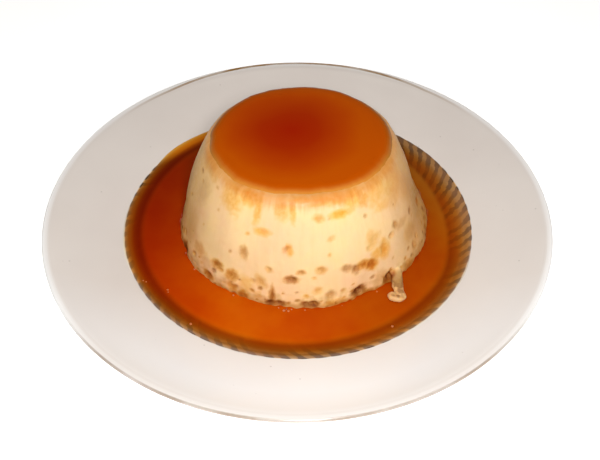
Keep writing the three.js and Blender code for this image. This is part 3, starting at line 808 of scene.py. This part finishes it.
def liquid_caramel():
    """Caramel syrup: clear, wet and strongly coloured. Thin, it is amber and shows the border
    through it; deep, it is red-brown. The colour follows the depth of liquid at each place, with
    painted light and shade laid over it."""
    material, node = new_material("liquid caramel")
    place, (x, y, _), radius = polar_place(node)
    depth = node("Attribute", attribute_name="depth").outputs["Fac"]
    swirl = node("TexNoise", place, 0.06, 3.0)
    uneven = node("MapRange", swirl, 0.3, 0.7, 0.9, 1.1)
    # How far each place lies towards three bearings: the right towards the back, where the syrup is
    # weak, the front left, and the back left.
    weak, ring, back_left = (
        node("MapRange", node("VectorMath", place, way, operation="DOT_PRODUCT").outputs["Value"],
             *reach, **SMOOTH)
        for way, *reach in (((0.906, 0.423, 0), 36, 72, 1.0, 0.42), ((-0.342, -0.940, 0), 52, 64),
                            ((-0.643, 0.766, 0), 66.5, 72)))
    # 0 where it is weakest and 1 where it is strong.
    thinned = node("MapRange", weak, 0.42, 1.0)
    # It is strongest at the left.
    strong = node("MapRange", x, -25, -68, 0, 2.0, **SMOOTH)
    for along, start, end in ((y, 66, 36), (radius, 74, 68)):
        within = node("MapRange", along, start, end, **SMOOTH)
        strong = node("Math", strong, within, operation="MULTIPLY")
    optical = depth
    for share in (uneven, weak):
        optical = node("Math", optical, share, operation="MULTIPLY")
    optical = node("Math", optical, strong, operation="ADD")
    # The thin film over the border has dried to a stronger colour.
    dried = node("MapRange", radius, 74, 72, 0, 0.9)
    begun = node("MapRange", radius, 66.5, 70)
    begun = node("Math", begun, thinned, operation="MULTIPLY")
    # At the front left the syrup over the print is thinner; the painted shade below also darkens it there.
    ring = node("Math", ring, begun, operation="MULTIPLY")
    for share, more in ((dried, begun), (ring, -0.4)):
        optical = node("Math", share, more, optical, operation="MULTIPLY_ADD")
    optical = node("Math", optical, 0.05, operation="MAXIMUM")
    # At the back left it has run over the border thickly enough to hide it.
    optical = node("Math", back_left, 1.2, optical, operation="MULTIPLY_ADD")
    # What a millimetre of the syrup lets through of red, green and blue.
    through = [node("Math", share, optical, operation="POWER") for share in SYRUP_CLARITY]
    clarity = node("CombineColor", *through)
    border, cover = rope_border(node)
    # Light scattered in the syrup blurs the border under it. Where it is deep only a darkness is left.
    haze = node("MapRange", optical, 0.3, 2.2, 0.25, 0.85)
    haze = node("Math", haze, weak, operation="MULTIPLY")
    cloudy = node("TexNoise", place, 0.12, 3.0)
    cloudy = node("MapRange", cloudy, 0.35, 0.65, 0.0, 0.4)
    haze = node("Math", haze, cloudy, operation="ADD")
    # Painted light: the blurred border is painted paler where the syrup is weakest, at the right towards the
    # back.
    mean = node("Mix", thinned, 0xD08850, 0x985A34, **COLOURS)
    blurred = node("Mix", haze, border, mean, **COLOURS)
    # Strong syrup hides the border's inner edge, so that the border seems to start farther out.
    start = node("MapRange", thinned, 0, 1, 61.5, 66.4)
    past = node("Math", radius, start, operation="SUBTRACT")
    seen = node("MapRange", past, -1.5, 2.0, 0, 0.82, **SMOOTH)
    bare = node("Math", 1.0, back_left, operation="SUBTRACT")
    seen = node("Math", seen, bare, operation="MULTIPLY")
    cover = node("Math", cover, seen, operation="MULTIPLY")
    bare_bed = node("Mix", thinned, 0xE6C6B4, 0xEAE2DA, **COLOURS)
    bed = node("Mix", cover, bare_bed, blurred, **COLOURS)
    colour = node("Mix", 1.0, bed, clarity, **COLOURS, blend_type="MULTIPLY")
    # Painted shade and light: the syrup is painted darker towards the back and the right, lighter at the
    # back left and over the border where it is weak, and darker over the border at the front left.
    shade = node("MapRange", y, -60, 45, 1.0, 0.56)
    aside = node("MapRange", x, -30, 30, 1.05, 0.8)
    shade = node("Math", shade, aside, operation="MULTIPLY")
    outside = node("MapRange", radius, 63, 67, 0, 0.12)
    inside = node("Math", 1.0, thinned, operation="SUBTRACT")
    for share, more in ((back_left, 0.5), (outside, inside), (ring, -0.33)):
        lit = node("Math", share, more, 1.0, operation="MULTIPLY_ADD")
        shade = node("Math", shade, lit, operation="MULTIPLY")
    colour = node("VectorMath", colour, shade, operation="SCALE")
    shader = node("BsdfPrincipled", {
        "Base Color": colour, "Roughness": 0.14, "IOR": 1.47, "Specular IOR Level": 0.2,
        "Specular Tint": 0xFFA030})
    node("OutputMaterial", shader)
    return material


pool_points, pool_depth = pool_body()
pool = add_object("caramel_liquid", solid_mesh("caramel pool", pool_points, True, pool_depth))
pool.data.materials.append(liquid_caramel())
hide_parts("caramel_pool")
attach(pool, "root")


# ---------------------------------------------------------------- caramel bubbles
# Small bubbles blown in the caramel as it ran down. Thin skins of clear syrup over air, they look
# a little paler than the pool, and gather against the custard's foot and along the printed border.

BUBBLE_SEED = 5
BUBBLE_RADIUS = 0.5
BUBBLE_SMALLEST, BUBBLE_LARGEST = 0.6, 1.3
BUBBLE_SINK = 0.15
# Where they gather against the custard: bearing and distance out from its foot.
BUBBLES_AT_FOOT = [(-10.6, 0.5), (-8.2, 1.5), (-7.3, 0.7), (-6.4, 1.5), (-5.2, 0.6), (0.4, 0.5), (16, 0.6),
                   (33, 0.9), (-31, 0.7), (-54, 0.6)]
# Where they gather on the pool: bearing and distance from the middle of the plate.
BUBBLES_ON_POOL = [(-59.5, 71.4), (-58.6, 70.6), (-51.4, 65.5), (-50.4, 66.0), (-35, 70.4), (31, 69.0)]


def bubble_places():
    """The middle of each bubble, at the height of the caramel's surface."""
    places = []
    level = POOL_LEVEL - WELL_HEIGHT
    for bearing, out in BUBBLES_AT_FOOT:
        foot = mould_radius(level) + slump(bearing, level)
        places.append(around_flan(bearing, foot + out, POOL_LEVEL - BUBBLE_SINK))
    for bearing, radius in BUBBLES_ON_POOL:
        angle = math.radians(bearing)
        surface = max(POOL_LEVEL, float(plate_top(radius)) + POOL_FILM)
        places.append((radius * math.sin(angle), -radius * math.cos(angle), surface - BUBBLE_SINK))
    return np.array(places)


def bubble_tree():
    """Geometry Nodes that set a small ball of uneven size on each point."""
    tree, node = new_geometry_tree("bubbles on points", {
        "Points": "Geometry", "Radius": "Float", "Smallest": "Float", "Largest": "Float", "Seed": "Int",
        "Material": "Material"})
    given = node("NodeGroupInput").outputs
    ball = node("MeshUVSphere", {"Segments": 20, "Rings": 12, "Radius": given["Radius"]})
    size = node("RandomValue", {
        "Min": given["Smallest"], "Max": given["Largest"], "Seed": given["Seed"]}, data_type="FLOAT")
    scattered = node("InstanceOnPoints", {"Points": given["Points"], "Instance": ball, "Scale": size})
    real = node("RealizeInstances", {"Geometry": scattered})
    smooth = node("SetShadeSmooth", {"Geometry": real})
    coloured = node("SetMaterial", {"Geometry": smooth, "Material": given["Material"]})
    node("NodeGroupOutput", {"Geometry": coloured})
    return tree


def bubble_skin():
    """Syrup stretched thin over air: clouded amber, a little paler than the pool and softly glossy."""
    material, node = new_material("caramel bubble skin")
    cloud = node("TexNoise", millimetres(node), 0.5, 2.0)
    colour = node("ValToRGB", cloud, stops=[(0.4, 0xA04818), (0.6, 0xB86A38)])
    shader = node("BsdfPrincipled", {"Base Color": colour, "Roughness": 0.35, "IOR": 1.47})
    node("OutputMaterial", shader)
    return material


bubble_points = bpy.data.meshes.new("bubbles")
bubble_points.from_pydata((bubble_places() / 1000).tolist(), [], [])
bubbles = add_object("caramel_bubbles", bubble_points)
run_nodes(bubbles, bubble_tree(), {"Radius": BUBBLE_RADIUS / 1000, "Smallest": BUBBLE_SMALLEST,
                                   "Largest": BUBBLE_LARGEST, "Seed": BUBBLE_SEED, "Material": bubble_skin()})
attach(bubbles, "root")


# ---------------------------------------------------------------- caramel glaze
# Caramel that set against the bottom of the mould and lies on top of the turned-out custard. It
# fills the slight dish of the top, deepest behind the middle, and thins to nothing on the shoulder.

GLAZE_THICKNESS = 0.9
GLAZE_CLEARANCE = 0.08
GLAZE_LIFT = 0.1
GLAZE_PAST_FLAT = 2.0
GLAZE_PAST_AT_SIDES = 0.6
GLAZE_PAST_AT_BACK = 0.6
GLAZE_FRONT_HALF_ANGLE, GLAZE_NOT_BACK_HALF_ANGLE = 60, 130
GLAZE_THINS_OVER = 5.0
GLAZE_THINS_SLOWER_AT_BACK = 3.0
GLAZE_TUCK = 0.25
GLAZE_SHORT_AT, GLAZE_SHORT_HALF_ANGLE = 5, 27
GLAZE_SHORT_BY = 1.7
GLAZE_COLUMNS = 360
GLAZE_INNER_ROWS, GLAZE_OUTER_ROWS = 18, 16
# The deepest place, a little left of the middle and behind it, and how far the dish reaches from it.
GLAZE_DEEPEST, GLAZE_DISH = (-3.6, 3.4), (33.5, 34)


def cap_point(distance, offset):
    """(radius, height) at a distance from the middle of the top, over the flat and down the shoulder."""
    past = distance - FLAN_TOP_FLAT
    radius, height = shoulder_point(np.degrees(np.clip(past, 0, None) / FLAN_SHOULDER), offset)
    return radius + np.minimum(past, 0), height


def glaze_body():
    """(points, thickness) of the glaze: its underside going out, then its surface coming back."""
    bearing = np.arange(GLAZE_COLUMNS)[None, :] * 360 / GLAZE_COLUMNS
    ragged = around_flan(bearing, 36, 0)
    edge = FLAN_TOP_FLAT + GLAZE_PAST_FLAT + 0.5 * noise_at(ragged, 6, 6) + 0.25 * noise_at(ragged, 1.8, 7)
    edge = edge - GLAZE_SHORT_BY * hump(turn_between(bearing, GLAZE_SHORT_AT), GLAZE_SHORT_HALF_ANGLE)
    turned = np.abs(turn_between(bearing, 0))
    aside = 1 - hump(turned, GLAZE_FRONT_HALF_ANGLE)
    behind = 1 - hump(turned, GLAZE_NOT_BACK_HALF_ANGLE)
    edge = edge + GLAZE_PAST_AT_SIDES * aside + GLAZE_PAST_AT_BACK * behind
    taper = GLAZE_THINS_OVER + GLAZE_THINS_SLOWER_AT_BACK * behind
    inner = (edge - taper) * np.linspace(0, 1, GLAZE_INNER_ROWS)[:-1, None]
    outer = edge - taper * np.linspace(1, 0, GLAZE_OUTER_ROWS)[:, None] ** 1.5
    distance = np.concatenate([inner, outer])
    inside = np.clip((edge - distance) / taper, 0, 1)
    full = GLAZE_THICKNESS + GLAZE_LIFT - GLAZE_CLEARANCE
    top = GLAZE_CLEARANCE + full * (1 - (1 - inside) ** 2)
    # The very edge goes down into the custard's skin, so that no gap shows under it.
    tuck = GLAZE_TUCK * hump(edge - distance, 0.9)
    lower = on_flan(bearing, *cap_point(distance, GLAZE_CLEARANCE - tuck))
    upper = on_flan(bearing, *cap_point(distance, top - tuck))
    return np.concatenate([lower, upper[::-1]]), np.concatenate([top, top[::-1]])


def caramel_glaze():
    """Set caramel, wet and glossy: amber where it is thin at the edge and red-brown where it is deep."""
    material, node = new_material("caramel glaze")
    place = millimetres(node)
    deepest = (FLAN_X + TOP_SHIFT_X + GLAZE_DEEPEST[0], FLAN_Y + GLAZE_DEEPEST[1], 0)
    offset = node("VectorMath", place, deepest, operation="SUBTRACT")
    across = node("VectorMath", offset, (1 / GLAZE_DISH[0], 1 / GLAZE_DISH[1], 0), operation="MULTIPLY")
    far = node("VectorMath", across, operation="LENGTH").outputs["Value"]
    swirl = node("TexNoise", place, 0.05, 2.0)
    uneven = node("Math", swirl, 0.25, far, operation="MULTIPLY_ADD")
    deep = node("ValToRGB", uneven, stops=[
        (0.12, 0x981C00), (0.45, 0x9C2600), (0.8, 0xAA3C00), (1.0, 0xB24A00)])
    thickness = node("Attribute", attribute_name="depth").outputs["Fac"]
    thin = node("MapRange", thickness, 0.95, 0.15, **SMOOTH)
    # Its thin edge shows pale custard at the front; at the sides and the back it is painted darker, as
    # painted shade.
    backward = node("SeparateXYZ", place).outputs["Y"]
    shaded = node("MapRange", backward, -24, 8, **SMOOTH)
    through = node("Mix", shaded, 0xC07C30, 0x8C5A10, **COLOURS)
    edge = node("Mix", thin, deep, through, **COLOURS)
    roughness = node("MapRange", thickness, 0.1, 0.9, 0.5, 0.2)
    shader = node("BsdfPrincipled", {
        "Base Color": edge, "Roughness": roughness, "IOR": 1.47, "Specular IOR Level": 0.1,
        "Specular Tint": 0xFFA030})
    node("OutputMaterial", shader)
    return material


glaze_points, glaze_depth = glaze_body()
glaze = add_object("caramel_glaze", solid_mesh("caramel glaze", glaze_points, False, glaze_depth))
glaze.data.materials.append(caramel_glaze())
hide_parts("caramel_top")
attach(glaze, "root")


# ---------------------------------------------------------------- floor, light and camera
# A plain pale floor of paper. A small soft light stands close over the front of the plate, a large one
# hangs high above it, and two weak ones stand low behind.

FLOOR_SIZE = 3.0
floor_mesh = bpy.data.meshes.new("floor")
half = FLOOR_SIZE / 2
corners = [(-half, -half, 0), (half, -half, 0), (half, half, 0), (-half, half, 0)]
floor_mesh.from_pydata(corners, [], [(0, 1, 2, 3)])
floor = add_object("floor", floor_mesh)
paper, paper_node = new_material("white paper")
fibre = paper_node("TexNoise", {"Scale": 60.0, "Detail": 3.0})
paper_colour = paper_node("ValToRGB", fibre, stops=[(0.3, 0xF4F3F1), (0.7, 0xF7F6F4)])
paper_shader = paper_node("BsdfPrincipled", {
    "Base Color": paper_colour, "Roughness": 0.9, "Emission Color": 0xFFFFFF, "Emission Strength": 0.6})
paper_node("OutputMaterial", paper_shader)
floor_mesh.materials.append(paper)

LIGHT_AIM = Vector((0, 0, 0.02))
# Each softbox's place, width in metres, power in watts and colour.
SOFTBOXES = {
    "key softbox": ((0.016, -0.235, 0.265), 0.1, 1.15, 0xFFFFFF),
    "top softbox": ((0, 0.12, 0.85), 0.6, 1.25, 0xFFF6EC),
    "back left softbox": ((-0.55, 0.62, 0.14), 0.25, 0.5, 0xFFF0E0),
    "back right softbox": ((0.55, 0.62, 0.14), 0.25, 0.5, 0xFFF0E0),
}
for name, (place, size, power, colour) in SOFTBOXES.items():
    light = bpy.data.lights.new(name, "AREA")
    light.shape = "DISK"
    light.size = size
    light.energy = power
    light.color = linear(colour)[:3]
    lamp = add_object(name, light)
    lamp.location = place
    lamp.rotation_euler = (LIGHT_AIM - Vector(place)).to_track_quat("-Z", "Y").to_euler()

world = bpy.data.worlds.new("studio")
world.use_nodes = True
room = world.node_tree.nodes["Background"]
room.inputs["Color"].default_value = linear(0xFFFDFA)
# The room gives only a faint fill, but behind the floor it looks as pale as the floor.
ROOM_FILL, ROOM_SEEN = 0.1, 0.75
direct = add_node(world.node_tree, "LightPath").outputs["Is Camera Ray"]
strength = add_node(world.node_tree, "MapRange", direct, 0, 1, ROOM_FILL, ROOM_SEEN)
world.node_tree.links.new(strength.outputs["Result"], room.inputs["Strength"])
bpy.context.scene.world = world
bpy.context.scene.view_settings.view_transform = "Standard"

# The camera looks down at the plate from in front, as a person at the table does.
CAMERA_DISTANCE = 300
CAMERA_ELEVATION = 42.798
AIM_BELOW_CENTRE = 2.635
AIM_TO_RIGHT = 0.284
LENS = 42.52
elevation = math.radians(CAMERA_ELEVATION)
pitch = math.radians(CAMERA_ELEVATION + AIM_BELOW_CENTRE)
yaw = math.radians(AIM_TO_RIGHT)
camera_data = bpy.data.cameras.new("camera")
camera_data.lens = LENS
camera_data.sensor_width = 36
camera_data.sensor_fit = "HORIZONTAL"
camera_data.clip_start = 0.01
camera = add_object("camera", camera_data)
camera.location = (0, -CAMERA_DISTANCE * math.cos(elevation) / 1000,
                   (RIM_HEIGHT + CAMERA_DISTANCE * math.sin(elevation)) / 1000)
forward = Vector((math.sin(yaw) * math.cos(pitch), math.cos(yaw) * math.cos(pitch), -math.sin(pitch)))
camera.rotation_euler = forward.to_track_quat("-Z", "Y").to_euler()
bpy.context.scene.camera = camera
